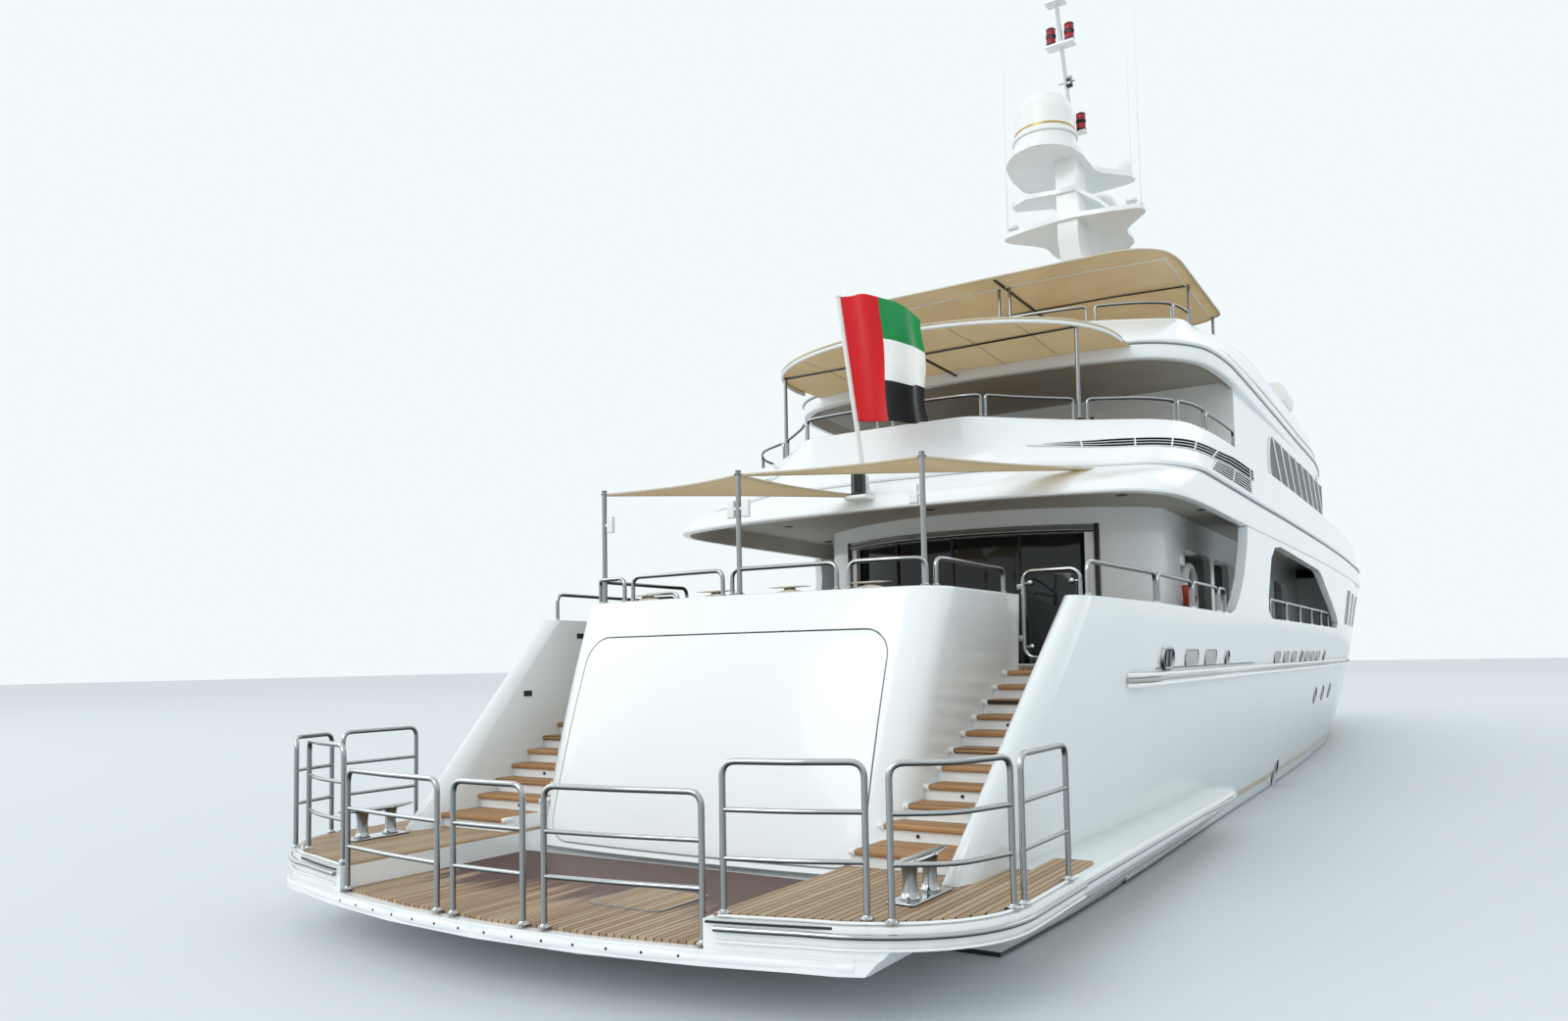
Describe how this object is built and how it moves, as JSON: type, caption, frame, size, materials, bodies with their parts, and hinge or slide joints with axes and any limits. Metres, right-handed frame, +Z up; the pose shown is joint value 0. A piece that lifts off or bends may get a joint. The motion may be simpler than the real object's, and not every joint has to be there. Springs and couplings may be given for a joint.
{
  "type": "motor yacht, 1:2 scale model",
  "caption": "Three-deck motor yacht at 1:2 scale with railed stern platform, twin side stairs, hinged transom door, canvas awnings, radar mast, propellers and rudders.",
  "frame": {"origin": "on the centreline at the waterline, 11 m of model forward of the stern rail", "axes": "+X to the bow, +Y to port, +Z up"},
  "size_m": [22.505, 4.151, 9.825],
  "materials": {
    "hull_paint": "gloss white yacht paint",
    "white_paint": "gloss white yacht paint",
    "teak": "scrubbed teak planks with dark caulking",
    "steel": "polished stainless steel",
    "dark_glass": "dark tinted glass",
    "canvas": "beige woven canvas",
    "cushion": "cream outdoor fabric",
    "flag_cloth": "woven flag cloth in red, green, white and black",
    "white_plastic": "gloss white moulded plastic",
    "bronze": "cast bronze"
  },
  "bodies": {
    "yacht": {"hull": "hull_paint", "topsides": "white_paint", "main_deck_teak": "teak", "foredeck_teak": "teak", "swim_platform": "white_paint", "platform_teak_centre": "teak", "rails_platform_centre": "steel", "transom": "white_paint", "sofa_cushions": "cushion", "rails_transom": "steel", "saloon_walls": "white_paint", "upper_deck": "white_paint", "rails_upper": "steel", "upper_lounge": "white_paint", "upper_lounge_glass": "dark_glass", "wheelhouse": "white_paint", "wheelhouse_glass": "dark_glass", "sun_deck": "white_paint", "rails_sun": "steel", "awning": "canvas", "awning_frame": "steel", "bimini": "canvas", "bimini_frame": "steel", "shade_sail_port": "canvas", "shade_sail_starboard": "canvas", "ensign_staff": "steel", "ensign": "flag_cloth", "mast": "white_paint", "satcom_dome_port": "white_plastic", "satcom_dome_starboard": "white_plastic", "windlass": "steel", "platform_teak_port": "teak", "rails_platform_port": "steel", "stairs_port": "white_paint", "rails_bulwark_port": "steel", "saloon_glass_port": "dark_glass", "bitts_port": "steel", "liferaft_port": "white_plastic", "cabin_glass_port": "dark_glass", "rails_side_deck_port": "steel", "platform_teak_starboard": "teak", "rails_platform_starboard": "steel", "stairs_starboard": "white_paint", "rails_bulwark_starboard": "steel", "saloon_glass_starboard": "dark_glass", "bitts_starboard": "steel", "liferaft_starboard": "white_plastic", "cabin_glass_starboard": "dark_glass", "rails_side_deck_starboard": "steel"},
    "transom_door": {"transom_door": "white_paint"},
    "upper_lounge_door": {"upper_lounge_door": "dark_glass"},
    "radar_scanner": {"radar_scanner": "white_plastic"},
    "gate_port": {"gate_port": "dark_glass"},
    "saloon_door_port": {"saloon_door_port": "dark_glass"},
    "propeller_port": {"propeller_port": "bronze"},
    "rudder_port": {"rudder_port": "bronze"},
    "gate_starboard": {"gate_starboard": "dark_glass"},
    "saloon_door_starboard": {"saloon_door_starboard": "dark_glass"},
    "propeller_starboard": {"propeller_starboard": "bronze"},
    "rudder_starboard": {"rudder_starboard": "bronze"}
  },
  "joints": [
    {"name": "transom_door_hinge", "type": "hinge", "parent": "yacht", "child": "transom_door", "pos_m": [-9.445, 0, 1.455], "axis": [0, 1, 0], "range_deg": [0, 75]},
    {"name": "upper_lounge_door_slide", "type": "slide", "parent": "yacht", "child": "upper_lounge_door", "axis": [0, -1, 0], "range_m": [0, 0.62]},
    {"name": "radar_scanner_spin", "type": "hinge", "parent": "yacht", "child": "radar_scanner", "pos_m": [-1.475, 0, 5.88], "axis": [0, 0, 1], "continuous": true},
    {"name": "gate_port_hinge", "type": "hinge", "parent": "yacht", "child": "gate_port", "pos_m": [-8.2, 1.25, 1.55], "axis": [0, 0, -1], "range_deg": [0, 90]},
    {"name": "saloon_door_port_slide", "type": "hinge", "parent": "yacht", "child": "saloon_door_port", "pos_m": [-4.5, 0, 1.75], "axis": [0, 0, -1], "range_deg": [0, 16]},
    {"name": "rudder_port_turn", "type": "hinge", "parent": "yacht", "child": "rudder_port", "pos_m": [-8.975, 0.775, -0.9], "axis": [0, 0, 1], "range_deg": [-35, 35]},
    {"name": "propeller_port_spin", "type": "hinge", "parent": "yacht", "child": "propeller_port", "pos_m": [-8.375, 0.775, -0.9617], "axis": [0.9977, 0, 0.0678], "continuous": true},
    {"name": "gate_starboard_hinge", "type": "hinge", "parent": "yacht", "child": "gate_starboard", "pos_m": [-8.2, -1.25, 1.55], "axis": [0, 0, 1], "range_deg": [0, 90]},
    {"name": "saloon_door_starboard_slide", "type": "hinge", "parent": "yacht", "child": "saloon_door_starboard", "pos_m": [-4.5, 0, 1.75], "axis": [0, 0, 1], "range_deg": [0, 16]},
    {"name": "rudder_starboard_turn", "type": "hinge", "parent": "yacht", "child": "rudder_starboard", "pos_m": [-8.975, -0.775, -0.9], "axis": [0, 0, 1], "range_deg": [-35, 35]},
    {"name": "propeller_starboard_spin", "type": "hinge", "parent": "yacht", "child": "propeller_starboard", "pos_m": [-8.375, -0.775, -0.9617], "axis": [0.9977, 0, 0.0678], "continuous": true}
  ]
}
